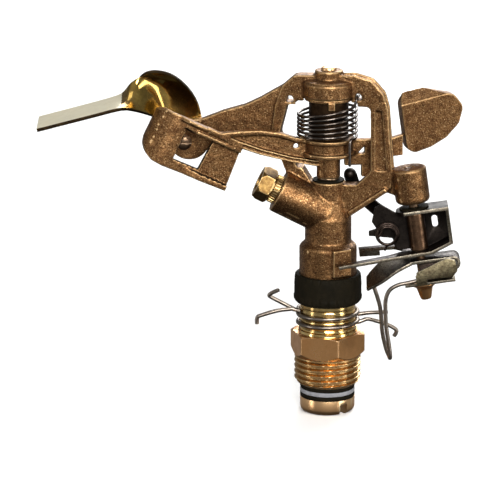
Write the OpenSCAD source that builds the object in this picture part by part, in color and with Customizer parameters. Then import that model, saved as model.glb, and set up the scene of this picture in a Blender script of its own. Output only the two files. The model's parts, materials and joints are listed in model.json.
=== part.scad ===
// Part-circle impact sprinkler with a half inch male inlet.
// +Z is up along the riser axis, z = 0 is the underside of the inlet hexagon and the nozzle throws towards -X.

/* [Inlet] */
// Crest diameter of the inlet thread
thread_d = 20.955; // [20.9:0.005:21.0]
// Pitch of the inlet thread, fourteen to the inch
thread_pitch = 1.814; // [1.8:0.001:1.82]
// Number of full thread ridges
thread_turns = 5; // [4:1:5]
// Size across the flats of the inlet hexagon
hex_af = 21; // [20.5:0.5:22]
// Height of the inlet hexagon
hex_h = 7.5; // [7:0.5:8]
// Radius of the polished barrel above the hexagon
barrel_r = 8.7; // [8.6:0.05:8.75]
// Radius of the hole that the bearing tube turns in
bearing_bore_r = 7.0; // [6.98:0.01:7.03]

/* [Stop collars] */
// Thickness of the stop wire
stop_wire_d = 1.3; // [1.1:0.1:1.3]
// Height of the lower stop collar
stop_low_z = 10.4; // [10.2:0.1:10.5]
// Height of the upper stop collar
stop_high_z = 13.7; // [13.6:0.1:13.9]

/* [Body] */
// Radius of the body barrel above the dust cover
body_r = 9.03; // [8.9:0.01:9.05]
// Radius of the body neck
neck_r = 7.29; // [7.0:0.05:7.5]
// Angle of the bridge about the riser, seen from above
bridge_yaw = -10; // [-11:0.5:-9.5]
// Depth of the bridge bars
bridge_depth = 5; // [4.5:0.25:5]
// Angle of the jet above the horizon
jet_rise = 26; // [25:0.5:27]
// Outer radius of the nozzle branch
branch_r = 6.8; // [6.5:0.1:7]
// Radius of the jet hole in the nozzle
jet_r = 2.0; // [1.5:0.1:2.4]

/* [Drive arm] */
// Angle of the arm about the fulcrum, seen from above
arm_yaw = 9; // [8.5:0.25:9.5]
// Thickness of the arm plates
arm_t = 2.4; // [2.0:0.1:2.4]
// Radius of the fulcrum pin
fulcrum_r = 1.6; // [1.5:0.05:1.65]
// Number of turns in the arm spring
arm_spring_turns = 6; // [5:1:6]
// Thickness of the arm spring wire
arm_spring_wire_d = 0.9; // [0.8:0.05:1]

/* [Trip] */
// Lean of the trip pin from the vertical
trip_lean = 8; // [7.5:0.25:8.5]
// Radius of the trip pin
trip_pin_r = 1.5; // [1.4:0.05:1.55]
// Thickness of the trip sheet metal
trip_sheet = 1.0; // [0.8:0.1:1.1]
// Thickness of the hairpin trigger wire
trigger_wire_d = 1.3; // [1.1:0.1:1.4]

/* [Deflector] */
// Thickness of the deflector sheet
deflector_t = 1.1; // [0.8:0.1:1.2]

/* [Hidden] */
$fn = 64;
CLEAR = 0.05;       // running clearance between round parts
EPS = 0.01;

// Thread and inlet
crest_r = thread_d / 2;
root_r = crest_r - 0.6403 * thread_pitch;
crest_land = 0.3;
thread_len = 9.6;
hex_r = hex_af / 2 / cos(30);
barrel_top = 19;

// Bearing stack under the nipple
foot_r = 8.65;
tube_r = bearing_bore_r - 0.07;
waterway_r = 4.8;
washer_in_r = tube_r + 0.02;
stack_top = -thread_len - CLEAR;
stack_z = [stack_top, -10.9, -12.3, -13.7];
foot_bottom = -18.4;
tube_top = 33;
cover_bottom = 17;
cover_top = 26.4;
cover_r = 10.8;

// Body
body_bottom = 24;
shoulder_z = 34.6;
neck_z = 36.9;
branch_z = 45.3;
branch_len = 17.36;
boss_r = 5.3;
boss_top = 56.2;
bridge_top = 90.5;
washer_t = 0.5;
seat_r = 7.6;
seat_z = [82.2, 83.2];

// Arm
hub_r = 3.7;
hub_bottom = 57.3;
spool_z = [64.5, 70.1];
hub_top = 76.2;
sleeve_r = 6.2;
bush_flange_t = 0.4;
hub_bore_r = 2.4;
spool_r = 8.1;
spring_low = 70.45;
spring_high = 79.29;
arm_spring_r = 9.15;
arm_spring_x = -0.4;

// Trip frame: origin at the underside of the trip boss
trip_origin = [26.6, -4.6, 49];
trip_boss_r = 5.4;
trip_boss_h = 12.6;

// Deflector screw
screw_at = [-45.2, 0, 67.3];
lobe_face_y = 4.7;
lobe_back_y = 8.2;

function lerp(a, b, t) = a + (b - a) * t;
function unit(v) = v / norm(v);

// Outline of a convex polygon of circle centres c, all of radius r, in anticlockwise order
function round_outline(c, r, steps = 6) = [
    for (i = [0 : len(c) - 1])
        let (
            p = c[(i + len(c) - 1) % len(c)],
            q = c[i],
            n = c[(i + 1) % len(c)],
            a0 = atan2(q[1] - p[1], q[0] - p[0]) - 90,
            a1 = atan2(n[1] - q[1], n[0] - q[0]) - 90,
            sweep = (a1 - a0 + 720) % 360
        )
        for (k = [0 : steps]) q + r * [cos(a0 + sweep * k / steps), sin(a0 + sweep * k / steps)]
];

// Point on a smooth curve through the points p, at u from 0 to 1
function through(p, u) =
    let (
        s = min(u, 0.9999) * (len(p) - 1),
        i = floor(s),
        t = s - i,
        a = p[max(i - 1, 0)],
        b = p[i],
        c = p[i + 1],
        d = p[min(i + 2, len(p) - 1)]
    )
    0.5 * (2 * b + (c - a) * t + (2 * a - 5 * b + 4 * c - d) * t * t + (3 * b - a - 3 * c + d) * t * t * t);

function along(p, steps) = [for (i = [0 : steps]) through(p, i / steps)];
function backwards(p) = [for (i = [len(p) - 1 : -1 : 0]) p[i]];

// Directions along a path, and a side vector carried along it without twist
function tangents(p) = [for (i = [0 : len(p) - 1]) unit(p[min(i + 1, len(p) - 1)] - p[max(i - 1, 0)])];
function squared(n, t) = unit(n - (n * t) * t);
function sides_along(t, n0) = [
    for (i = 0, n = squared(n0, t[0]); i < len(t); i = i + 1, n = i < len(t) ? squared(n, t[i]) : n) n
];

// Round wire along the points p; side is any direction across its start, and flat below 1 thins it
// across that side
module wire(p, r, side, faces_round = 8, flat = 1) {
    t = tangents(p);
    n = sides_along(t, side);
    last = len(p) - 1;
    pts = [
        for (i = [0 : last])
            for (k = [0 : faces_round - 1])
                let (b = 360 * k / faces_round)
                p[i] + r * (cos(b) * n[i] + flat * sin(b) * cross(t[i], n[i]))
    ];
    walls = [
        for (i = [0 : last - 1])
            for (k = [0 : faces_round - 1])
                let (m = (k + 1) % faces_round)
                [i * faces_round + k, (i + 1) * faces_round + k, (i + 1) * faces_round + m, i * faces_round + m]
    ];
    start_cap = [for (k = [0 : faces_round - 1]) k];
    end_cap = [for (k = [faces_round - 1 : -1 : 0]) last * faces_round + k];
    polyhedron(points = pts, faces = concat(walls, [start_cap, end_cap]), convexity = 10);
}

// Points of a helix of radius r that starts at an angle
function helix(z0, z1, r, turns, start, per_turn = 20) =
    let (steps = ceil(turns * per_turn))
    [for (i = [0 : steps])
        let (a = start + 360 * turns * i / steps)
        [r * cos(a), r * sin(a), lerp(z0, z1, i / steps)]];

// Ring between two heights
module ring(z0, z1, r_out, r_in) {
    rotate_extrude($fn = 96)
        polygon([[r_in, z0], [r_out, z0], [r_out, z1], [r_in, z1]]);
}

// Plate in the XZ plane of a frame turned by yaw about the riser, between two depths
module upright(yaw, y0, y1) {
    rotate([0, 0, yaw])
        translate([0, y1, 0])
            rotate([90, 0, 0])
                linear_extrude(y1 - y0)
                    children();
}

// Places children in the leaning frame of the trip pin
module trip_frame() {
    translate(trip_origin)
        rotate([0, -trip_lean, 0])
            children();
}

// Places children along the jet, with +X along the jet's way out
module jet_frame() {
    translate([0, 0, branch_z])
        rotate([0, -180 + jet_rise, 0])
            children();
}

/* ---------- inlet ---------- */

// Threaded nipple, held still by the riser
module bearing_nipple() {
    foot_chamfer = 1.2;
    ridge_z = [for (i = [0 : thread_turns - 1]) -1.6 - thread_pitch * i];
    flank = thread_pitch / 2 - crest_land / 2 - 0.17;
    shoulder = 0.55;
    color("peru")
        difference() {
            union() {
                rotate_extrude($fn = 96)
                    polygon([[0, -thread_len], [root_r - 0.5, -thread_len], [root_r, -thread_len + 0.5],
                        [root_r, -shoulder - 0.3], [crest_r, -shoulder], [crest_r, 0.1], [0, 0.1]]);
                for (z = ridge_z)
                    rotate_extrude($fn = 96)
                        polygon([[root_r - 0.2, z - flank - crest_land / 2], [root_r, z - flank - crest_land / 2],
                            [crest_r, z - crest_land / 2], [crest_r, z + crest_land / 2],
                            [root_r, z + flank + crest_land / 2], [root_r - 0.2, z + flank + crest_land / 2]]);
                intersection() {
                    rotate([0, 0, -15])
                        cylinder(h = hex_h, r = hex_r, $fn = 6);
                    rotate_extrude($fn = 96)
                        polygon([[0, 0], [hex_af / 2 - 0.1, 0], [hex_r + 0.05, foot_chamfer * 1.5],
                            [hex_r + 0.05, hex_h - 0.6], [hex_af / 2 + 0.4, hex_h], [0, hex_h]]);
                }
                rotate_extrude($fn = 96)
                    polygon([[0, hex_h - 0.5], [barrel_r + 0.5, hex_h - 0.5], [barrel_r + 0.5, hex_h + 0.5],
                        [barrel_r, hex_h + 0.9], [barrel_r, barrel_top - 0.4], [barrel_r - 0.4, barrel_top],
                        [0, barrel_top]]);
            }
            translate([0, 0, -thread_len - 1])
                cylinder(h = barrel_top + thread_len + 2, r = bearing_bore_r, $fn = 96);
        }
}

// Wire collar gripping the barrel, whose crossed ends stand out as ears that the trigger wire meets
module stop_collar(z, middle, low_ear, high_ear) {
    r = stop_wire_d / 2;
    ring_r = barrel_r + CLEAR + r;
    cross_angle = 14;
    color("gray")
        wire(
            concat(
                along(backwards(low_ear), 12),
                helix(z - 0.6, z + 0.75, ring_r, 1 + cross_angle / 180, middle - cross_angle, 40),
                along(high_ear, 12)),
            r, [0, 1, 0.3]);
}

module stop_collar_upper() {
    stop_collar(stop_high_z, 180,
        [[-11.4, 2.9, 14.0], [-14.5, 3.2, 15.6], [-17.6, 3.4, 17.2], [-18.4, 3.3, 17.9], [-17.7, 3.1, 18.7],
            [-15.2, 2.6, 20.0]],
        [[-11.4, -2.7, 15.2], [-16, -2.9, 14.6], [-20.8, -3.0, 13.2], [-22.2, -3.0, 12.4], [-22.3, -3.0, 10.2]]);
}

module stop_collar_lower() {
    stop_collar(stop_low_z, 18,
        [[11.0, 1.0, 10.3], [12.9, 1.4, 10.7], [16.3, 1.6, 9.7], [19.4, 1.8, 8.5], [21.5, 1.8, 7.2],
            [21.7, 1.8, 6.1], [20.9, 1.8, 4.8]],
        [[10.0, 5.0, 11.3], [13.5, 5.2, 11.7], [19.2, 4.8, 12.0]]);
}

/* ---------- bearing ---------- */

// Hollow tube that turns in the nipple and carries the body on its foot
module bearing_tube() {
    round_r = 1.6;
    slot_w = 2.6;
    slot_h = 3.3;
    color("darkgoldenrod")
        difference() {
            union() {
                cylinder_z = foot_bottom + round_r;
                rotate_extrude($fn = 96)
                    polygon(concat(
                        [[0, foot_bottom]],
                        [for (a = [-90 : 15 : 0]) [foot_r - round_r + round_r * cos(a), cylinder_z + round_r * sin(a)]],
                        [[foot_r, stack_z[3]], [tube_r, stack_z[3]], [tube_r, tube_top], [0, tube_top]]));
            }
            translate([0, 0, foot_bottom - 1])
                cylinder(h = tube_top - foot_bottom + 2, r = waterway_r, $fn = 64);
            for (a = [-54, 126])
                rotate([0, 0, a])
                    translate([waterway_r - 1, -slot_w / 2, foot_bottom - 1])
                        cube([foot_r, slot_w, slot_h + 1]);
        }
}

module seal_washer_upper() {
    color("black") ring(stack_z[1], stack_z[0], foot_r, washer_in_r);
}

module friction_washer() {
    color("silver") ring(stack_z[2], stack_z[1], foot_r, washer_in_r);
}

module seal_washer_lower() {
    color("black") ring(stack_z[3], stack_z[2], foot_r, washer_in_r);
}

module thrust_washer() {
    color("ivory") ring(barrel_top + CLEAR, barrel_top + 0.8, barrel_r - 0.1, washer_in_r);
}

// Compression spring that loads the washers, hidden by the dust cover
module bearing_spring() {
    wire_r = 0.5;
    color("silver")
        wire(helix(barrel_top + 0.8 + wire_r + 0.02, body_bottom - wire_r - 0.02, 7.9, 2.5, 0), wire_r, [0, 0, 1]);
}

module dust_cover() {
    in_r = body_r + 0.05;
    color("black")
        rotate_extrude($fn = 96)
            polygon([[in_r, cover_bottom], [9.55, cover_bottom], [cover_r, cover_bottom + 1.15],
                [cover_r - 0.2, cover_bottom + 5.5], [10.4, cover_top - 0.5], [10.1, cover_top],
                [in_r, cover_top]]);
}

/* ---------- body ---------- */

BRIDGE = [[6, 47.6], [17.7, 55.9], [17.9, 61], [16.5, 79.5], [15.4, 83.5], [12.4, 86.8], [8, 88],
    [-9.5, 87.4], [-12.2, 85], [-14.1, 79.5], [-15.3, 71], [-11, 60.5], [-5, 51.5]];
WINDOW = [[8.5, 57], [12.1, 60.5], [12, 79.1], [-11.5, 79.1], [-13.4, 71.5], [-8.3, 61.5], [-5.4, 57]];

// Cast bracket behind the arm, from the bridge to the lobe that carries the deflector
module bracket_web() {
    turn_x = -15;
    angle = -6;
    color("peru")
        translate([turn_x, 0, 0])
            rotate([0, 0, angle])
                translate([-turn_x, 0, 0])
                    upright(0, 1.9, 4.9)
                        polygon([[-14.2, 86.4], [-21.6, 82.0], [-26.4, 79.6], [-33, 77.6], [-39.8, 74.8],
                            [-43.5, 74.4], [-43.5, 62], [-40.6, 63.2], [-37.5, 65.6], [-30, 67.6], [-22, 68.6], [-15.5, 68.5],
                            [-15, 77]]);
}

// Castings of the rotating head: barrel, nozzle branch, bridge, deflector bracket and trip boss
module sprinkler_body() {
    groove_t = 2.4;
    color("peru")
        difference() {
            union() {
                rotate_extrude($fn = 96)
                    polygon(concat(
                        [[0, body_bottom], [body_r, body_bottom], [body_r, shoulder_z]],
                        [for (a = [0 : 15 : 60]) [body_r - 1.6 + 1.6 * cos(a), shoulder_z + 1.6 * sin(a)]],
                        [[neck_r, neck_z], [neck_r, 44.5], [6.2, 47.5], [boss_r, 50.5], [boss_r, boss_top],
                            [0, boss_top]]));
                jet_frame()
                    rotate([0, 90, 0])
                        cylinder(h = branch_len, r1 = branch_r + 0.2, r2 = branch_r);
                // Lug that carries the left leg of the bridge on the nozzle branch
                upright(bridge_yaw, -bridge_depth / 2, bridge_depth / 2)
                    polygon([[-13.2, 52], [-13.2, 60.5], [-8.0, 60.5], [-4.5, 55], [-2, 50], [-2, 46], [-9, 48]]);
                difference() {
                    upright(bridge_yaw, -bridge_depth / 2, bridge_depth / 2)
                        difference() {
                            polygon(round_outline(BRIDGE, 2.5));
                            polygon(round_outline(WINDOW, 1.5));
                        }
                    // Channel along the outer edge of the right leg and the top
                    upright(bridge_yaw, -groove_t / 2, groove_t / 2)
                        difference() {
                            translate([2.5, 52])
                                square([22, 42]);
                            polygon(round_outline(BRIDGE, 1.4));
                        }
                }
                // Round pad over the spring seat, and the pin boss on it
                translate([0, 0, seat_z[1] + CLEAR])
                    rotate_extrude($fn = 96)
                        polygon([[0, 0], [8.2, 0], [8.2, 4.3], [7.5, 5.1], [4.4, 5.5],
                            [4.4, bridge_top + 1 - seat_z[1]], [0, bridge_top + 1 - seat_z[1]]]);
                bracket_web();
                // Lobe with the deflector's pivot
                translate([-43.5, lobe_back_y, 68])
                    rotate([90, 0, 0])
                        cylinder(h = lobe_back_y - lobe_face_y, r = 6.4);
                // Rim along the lower edge of the right flank
                upright(bridge_yaw, -bridge_depth / 2 - 0.8, bridge_depth / 2 + 0.8)
                    polygon([[6.5, 46.9], [18.2, 55.1], [19.1, 53.9], [7.4, 45.6]]);
                // Trip boss on its neck, with its web to the right leg
                trip_frame()
                    rotate_extrude($fn = 64)
                        polygon(concat(
                            [[0, 1.4]],
                            [for (a = [-90 : 22.5 : 0])
                                [trip_boss_r - 1.3 + 1.3 * cos(a), 2.7 + 1.3 * sin(a)]],
                            [[trip_boss_r, trip_boss_h - 0.5], [trip_boss_r - 0.5, trip_boss_h], [0, trip_boss_h]]));
                upright(bridge_yaw, -1.9, 1.7)
                    polygon([[18, 53.6], [24.5, 51.5], [24.5, 59.0], [18, 59.8]]);
                // Cast flat on the front of the barrel
                rotate([0, 0, -62])
                    translate([body_r - 1.2, -3.2, body_bottom + 3])
                        cube([1.7, 6.4, 8.6]);
            }
            // Recess for the spring seat, wider below for the top of the arm spring
            translate([0, 0, seat_z[0] - 5])
                cylinder(h = seat_z[1] - seat_z[0] + 5 + CLEAR, r = seat_r + 0.15);
            translate([arm_spring_x, 0, seat_z[0] - 5])
                cylinder(h = 4.6, r = arm_spring_r + 0.8);
            // Shallow panel in the face of the right leg
            for (side = [-1, 1])
                upright(bridge_yaw, side * bridge_depth / 2 - 0.6, side * bridge_depth / 2 + 0.6)
                    polygon([[15.2, 60.5], [18.6, 60.5], [17.0, 79.5], [15.0, 79.5]]);
            // Small windows beside the pin boss
            for (c = [[-11.9, 82.2], [9.6, 83.6]])
                upright(bridge_yaw, -bridge_depth, bridge_depth)
                    translate(c)
                        polygon(round_outline([[-0.7, -0.5], [0.7, -0.5], [0.3, 0.6], [-0.3, 0.6]], 0.5));
            // Seat of the bearing tube, and the waterway to the nozzle
            translate([0, 0, body_bottom - 1])
                cylinder(h = tube_top - body_bottom + 1, r = tube_r + 0.01, $fn = 96);
            translate([0, 0, body_bottom])
                cylinder(h = branch_z - body_bottom, r = waterway_r);
            jet_frame()
                rotate([0, 90, 0])
                    cylinder(h = branch_len + 1, r = 3.6);
            jet_frame()
                translate([branch_len - 7, 0, 0])
                    rotate([0, 90, 0])
                        cylinder(h = 8, r = 4.21);
            // Fulcrum pin holes
            translate([0, 0, 50.5])
                cylinder(h = 50, r = fulcrum_r + 0.01, $fn = 48);
            // Trip pin hole
            trip_frame()
                translate([0, 0, -1])
                    cylinder(h = trip_boss_h + 2, r = trip_pin_r + 0.01, $fn = 48);
            // Deflector screw hole
            translate([screw_at[0], lobe_back_y + 1, screw_at[2]])
                rotate([90, 0, 0])
                    cylinder(h = 6, r = 1.51, $fn = 48);
        }
}

// Screwed-in nozzle with a hexagon and a ribbed collar
module range_nozzle() {
    hex_len = 4.6;
    collar_len = 2.4;
    color("gold")
        jet_frame()
            translate([branch_len, 0, 0])
                rotate([0, 90, 0])
                    difference() {
                        union() {
                            translate([0, 0, -6.5])
                                cylinder(h = 6.6, r = 4.2);
                            translate([0, 0, 0.05])
                                cylinder(h = collar_len, r = 4.6, $fn = 64);
                            rotate([0, 0, 12])
                                translate([0, 0, collar_len])
                                    intersection() {
                                        cylinder(h = hex_len, r = 5.55, $fn = 6);
                                        cylinder(h = hex_len, r1 = 6.2, r2 = 5.0);
                                    }
                        }
                        translate([0, 0, -7])
                            cylinder(h = 7.5, r1 = 3.3, r2 = jet_r);
                        translate([0, 0, 0])
                            cylinder(h = 10, r = jet_r);
                        translate([0, 0, collar_len + hex_len - 1])
                            cylinder(h = 1.1, r = 3.2);
                    }
}

module fulcrum_pin() {
    color("silver")
        rotate_extrude($fn = 48)
            polygon([[0, 50.8], [fulcrum_r, 50.8], [fulcrum_r, bridge_top + 1.05], [fulcrum_r + 0.9, bridge_top + 1.05],
                [fulcrum_r + 0.7, bridge_top + 1.9], [0, bridge_top + 2.1]]);
}

module fulcrum_washer() {
    color("black") ring(boss_top + 0.02, boss_top + washer_t, boss_r - 0.3, fulcrum_r + 0.06);
}

// Retainer that holds the top of the arm spring, with an adjusting tab
module spring_seat() {
    tab_w = 2.0;
    tab_drop = 2.1;
    guide_r = sleeve_r;
    guide_len = seat_z[0] - hub_top - bush_flange_t - 0.4;
    color("peru") {
        ring(seat_z[0], seat_z[1], seat_r, fulcrum_r + 0.06);
        ring(seat_z[0] - guide_len, seat_z[0] + 0.1, guide_r, fulcrum_r + 0.06);
        translate([-0.2, -seat_r - 0.3, seat_z[0] - tab_drop])
            cube([tab_w, 1.6, tab_drop + 0.4]);
    }
}

/* ---------- drive arm ---------- */

// Plate in the arm's plane
module arm_plate(y0, y1) {
    upright(arm_yaw, y0, y1) children();
}

// Frame of the drive vane: +X along the jet, +Y up across it, origin at the lower inner corner
module vane_frame() {
    rotate([0, 0, arm_yaw])
        translate([-32.9, 0, 54.0])
            rotate([0, -180 + jet_rise, 0])
                rotate([-90, 0, 0])
                    children();
}

VANE_L = 21.4;
VANE_H = 15.6;
VANE_CURL = 8.0;
VANE_T = 2.0;

// Bent strip of the vane between two heights
module vane_strip(low, high) {
    r_in = VANE_CURL - VANE_T;
    outer = [for (a = [-90 : 7.5 : 0]) [VANE_L + VANE_CURL * cos(a), VANE_CURL + VANE_CURL * sin(a)]];
    inner = [for (a = [0 : -7.5 : -90]) [VANE_L + r_in * cos(a), VANE_CURL + r_in * sin(a)]];
    translate([0, high, 0])
        rotate([90, 0, 0])
            linear_extrude(high - low)
                polygon(concat([[0, 0]], outer, inner, [[0, VANE_T]]));
}

// Straight rib on the vane's outer face that fades out towards the curl
module vane_rib(low, high, proud, end, fade) {
    translate([0, high, 0])
        rotate([90, 0, 0])
            linear_extrude(high - low)
                polygon([[0, 0.5], [0, -proud], [end - fade, -proud], [end, 0.5]]);
}

// Window frame that rides beside the jet, ribbed along both long edges, with its far end curled
// across the jet
module vane() {
    top = VANE_H + 0.6;
    end_x = VANE_L + VANE_CURL;
    vane_frame()
        intersection() {
            union() {
                vane_strip(-1, top);
                vane_rib(-1, 1.9, 1.2, 17, 8);
                vane_rib(top - 2.9, top, 1.4, 22, 5);
                vane_rib(top - 3.1, top - 2.0, 2.0, 19, 3);
                vane_rib(top - 1.1, top, 2.0, 23, 3);
            }
            translate([0, 0, -3])
                linear_extrude(VANE_CURL + 4)
                    difference() {
                        polygon([[0, 0.2], [VANE_L, -0.7], [25.2, -0.5], [27.4, 0.6], [28.8, 2.4], [end_x, 4.6],
                            [end_x + 1, 5], [end_x + 1, 13.4], [29, 14.6], [27, top - 0.4], [VANE_L, top],
                            [1.2, top - 0.2]]);
                        polygon([[10.6, 2.9], [19.2, 2.7], [19.3, 12.7], [10.2, 12.9]]);
                    }
        }
}

module drive_arm() {
    paddle_x = 20;
    paddle_yaw = 16;
    paddle_t = 4.4;
    color("peru")
        difference() {
            union() {
                // Hub and spool
                ring(hub_bottom, spool_z[0] + 1, hub_r, hub_bore_r);
                ring(spool_z[0], spool_z[0] + 1.2, spool_r, hub_bore_r);
                ring(spool_z[0] + 1.1, spool_z[1] - 1, 7.2, hub_bore_r);
                ring(spool_z[1] - 1.1, spool_z[1], spool_r, hub_bore_r);
                ring(spool_z[1] - 0.5, hub_top, sleeve_r, hub_bore_r);
                // Lens-shaped web to the vane with its two grooved ribs
                arm_plate(-0.7, 0.5)
                    polygon([[-3.2, 62.2], [-12, 63.9], [-21.7, 66.6], [-33.7, 72.2], [-29.0, 72.7], [-21.7, 72.7],
                        [-15.3, 71.6], [-10.6, 69.8], [-3.2, 68.5]]);
                difference() {
                    arm_plate(-2.0, 0.9)
                        polygon([[-2.5, 60.9], [-12, 62.9], [-22, 65.6], [-29, 68.2], [-34, 71.0], [-38, 73.2],
                            [-38, 74.8], [-33.5, 72.6], [-28, 70.0], [-21.4, 67.4], [-12, 64.6], [-2.5, 62.8]]);
                    arm_plate(-2.5, -1.5)
                        polygon([[-2.5, 61.6], [-12, 63.5], [-22, 66.3], [-28.6, 68.9], [-34, 71.6], [-34, 72.2],
                            [-28.3, 69.5], [-21.7, 66.9], [-12, 64.1], [-2.5, 62.2]]);
                }
                arm_plate(-2.0, 0.9)
                    polygon([[-3, 68.2], [-10.6, 69.2], [-15.3, 71.0], [-21.7, 72.0], [-34.5, 71.6], [-34, 72.9],
                        [-28, 73.3], [-21.7, 73.3], [-15.3, 72.3], [-10.6, 70.6], [-3, 69.8]]);
                vane();
                // Flat plate behind the right leg, with the striker lug
                arm_plate(-arm_t / 2, arm_t / 2)
                    polygon([[5, 61], [10.4, 61], [10.4, 57.2], [15, 57.2], [17.5, 61.8], [19.5, 63.3], [23.4, 63.6],
                        [23.4, 70.2], [19.5, 69.2], [5, 69.2]]);
                // Counterweight paddle with a sloping top
                difference() {
                    translate([paddle_x, 3.2, 0])
                        upright(paddle_yaw, -paddle_t / 2, paddle_t / 2)
                            polygon(round_outline([[7.0, 67.4], [11.0, 68.6], [15.4, 71.0], [18.6, 74.4],
                                [19.4, 77.6], [18.0, 79.5], [9.4, 81.3], [6.2, 81.1], [5.2, 79.5]], 3));
                    translate([paddle_x, 3.2, 0])
                        rotate([0, 0, paddle_yaw])
                            translate([2.07, -paddle_t / 2, 79.7])
                                rotate([0, -10.6, 0])
                                    rotate([34, 0, 0])
                                        translate([-4, -1, 0])
                                            cube([30, 12, 12]);
                }
            }
            // Lightening holes
            arm_plate(-3, 3)
                polygon([[9.0, 64.6], [11.4, 64.6], [11.4, 67.2]]);
            arm_plate(-3, 3)
                polygon(round_outline([[-10.6, 67.6], [-10.2, 67.6], [-10.4, 68.0]], 0.6));
            // Clearance inside the hub
            translate([0, 0, hub_bottom - 1])
                cylinder(h = hub_top - hub_bottom + 2, r = hub_bore_r, $fn = 48);
        }
}

module arm_bushing(z0, z1, flange_z) {
    color("ivory") {
        ring(z0, z1, hub_bore_r - 0.01, fulcrum_r + 0.06);
        ring(flange_z, flange_z + bush_flange_t, hub_r - 0.3, fulcrum_r + 0.06);
    }
}

module arm_bushing_lower() {
    arm_bushing(hub_bottom - 0.1, hub_bottom + 4, hub_bottom - bush_flange_t - EPS);
}

module arm_bushing_upper() {
    arm_bushing(hub_top - 5, hub_top + 0.1, hub_top + EPS);
}

// Torsion spring that pulls the arm back to the jet: a straight leg beside the spool, turns that
// lean over more and more, and a hook through the bridge's small window
module arm_spring() {
    wire_r = arm_spring_wire_d / 2;
    leg_angle = -41;
    leg_low = 62;
    leg_steps = 6;
    start = leg_angle + 4;
    lean_rise = 0.225;
    pitch = (spring_high - spring_low) / arm_spring_turns;
    steps = 20 * arm_spring_turns;
    leg_x = arm_spring_x + arm_spring_r * cos(leg_angle);
    leg_y = arm_spring_r * sin(leg_angle);
    hook = [[7.7, -5.5, 81.1], [8.2, -5.4, 82.2], [8.45, -5.2, 83.05], [8.6, -4.5, 83.4], [8.76, -3.58, 83.4],
        [9.45, 0.5, 83.4]];
    color("dimgray")
        wire(
            concat(
                [for (i = [0 : leg_steps - 1]) [leg_x, leg_y, lerp(leg_low, spring_low - 0.2, i / leg_steps)]],
                [for (i = [0 : steps])
                    let (turn = arm_spring_turns * i / steps, a = start + 360 * turn)
                    [arm_spring_x + arm_spring_r * cos(a), arm_spring_r * sin(a),
                        spring_low + pitch * turn + lean_rise * turn * cos(a)]],
                hook),
            wire_r, [1, 0, 0]);
}

/* ---------- deflector ---------- */

// A bent sheet is its two long edges, and how far its middle bows outwards
HOOD = [
    [[-50.6, 8.9, 63.5], [-51.4, 9.0, 68.5], [-52.4, 8.0, 72.2], [-54, 5.5, 75], [-57, 1.5, 77.2],
        [-60.6, -2.0, 79.0], [-63.4, -5.4, 80.2], [-66.4, -7.2, 80.2], [-73.5, -7.6, 78.4], [-82, -7.7, 76.2],
        [-90.5, -7.8, 74.0]],
    [[-39.4, 8.9, 63.5], [-39.7, 9.1, 74.5], [-42.6, 9.2, 82], [-48.5, 8.9, 87.6], [-55.5, 6.8, 89.4],
        [-60.8, 6.2, 86.2], [-64.0, 6.8, 82.4], [-67.6, 7.8, 80.6], [-74.3, 8.2, 78.6], [-82.3, 8.4, 76.4],
        [-90.5, 8.4, 74.2]],
    1];

// Outward bow of a sheet at u along it and v across it
function sheet_bow(u, v) = 4 * v * (1 - v) * max(0, sin(180 * min(1, max(0, (u - 0.1) / 0.46))));
function sheet_mid(s, u, v) =
    lerp(through(s[0], u), through(s[1], u), v) + s[2] * sheet_bow(u, v) * [-1.6, 2.6, 1.2];
function sheet_normal(s, u, v) =
    let (
        e = 0.01,
        du = sheet_mid(s, min(1, u + e), v) - sheet_mid(s, max(0, u - e), v),
        dv = sheet_mid(s, u, min(1, v + e)) - sheet_mid(s, u, max(0, v - e))
    )
    unit(cross(du, dv));

module bent_sheet(s, thickness, along, across) {
    n = across + 1;
    layer = (along + 1) * n;
    pts = [
        for (side = [-0.5, 0.5])
            for (i = [0 : along])
                for (j = [0 : across])
                    sheet_mid(s, i / along, j / across)
                        + side * thickness * sheet_normal(s, i / along, j / across)
    ];
    function at(side, i, j) = side * layer + i * n + j;
    skin = [
        for (i = [0 : along - 1])
            for (j = [0 : across - 1])
                for (f = [
                    [at(0, i, j), at(0, i + 1, j), at(0, i + 1, j + 1)],
                    [at(0, i, j), at(0, i + 1, j + 1), at(0, i, j + 1)],
                    [at(1, i, j), at(1, i + 1, j + 1), at(1, i + 1, j)],
                    [at(1, i, j), at(1, i, j + 1), at(1, i + 1, j + 1)]])
                    f
    ];
    sides = [
        for (i = [0 : along - 1])
            for (f = [
                [at(0, i, 0), at(1, i, 0), at(1, i + 1, 0)],
                [at(0, i, 0), at(1, i + 1, 0), at(0, i + 1, 0)],
                [at(0, i, across), at(1, i + 1, across), at(1, i, across)],
                [at(0, i, across), at(0, i + 1, across), at(1, i + 1, across)]])
                f
    ];
    ends = [
        for (j = [0 : across - 1])
            for (f = [
                [at(0, 0, j), at(0, 0, j + 1), at(1, 0, j + 1)],
                [at(0, 0, j), at(1, 0, j + 1), at(1, 0, j)],
                [at(0, along, j), at(1, along, j + 1), at(0, along, j + 1)],
                [at(0, along, j), at(1, along, j), at(1, along, j + 1)]])
                f
    ];
    polyhedron(points = pts, faces = concat(skin, sides, ends), convexity = 10);
}

// Sheet that rises from the lobe, folds over and slopes down across the jet
module deflector() {
    color("goldenrod")
        difference() {
            bent_sheet(HOOD, deflector_t, 36, 6);
            translate([screw_at[0], 12, screw_at[2]])
                rotate([90, 0, 0])
                    cylinder(h = 6, r = 1.56, $fn = 48);
        }
}

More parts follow.
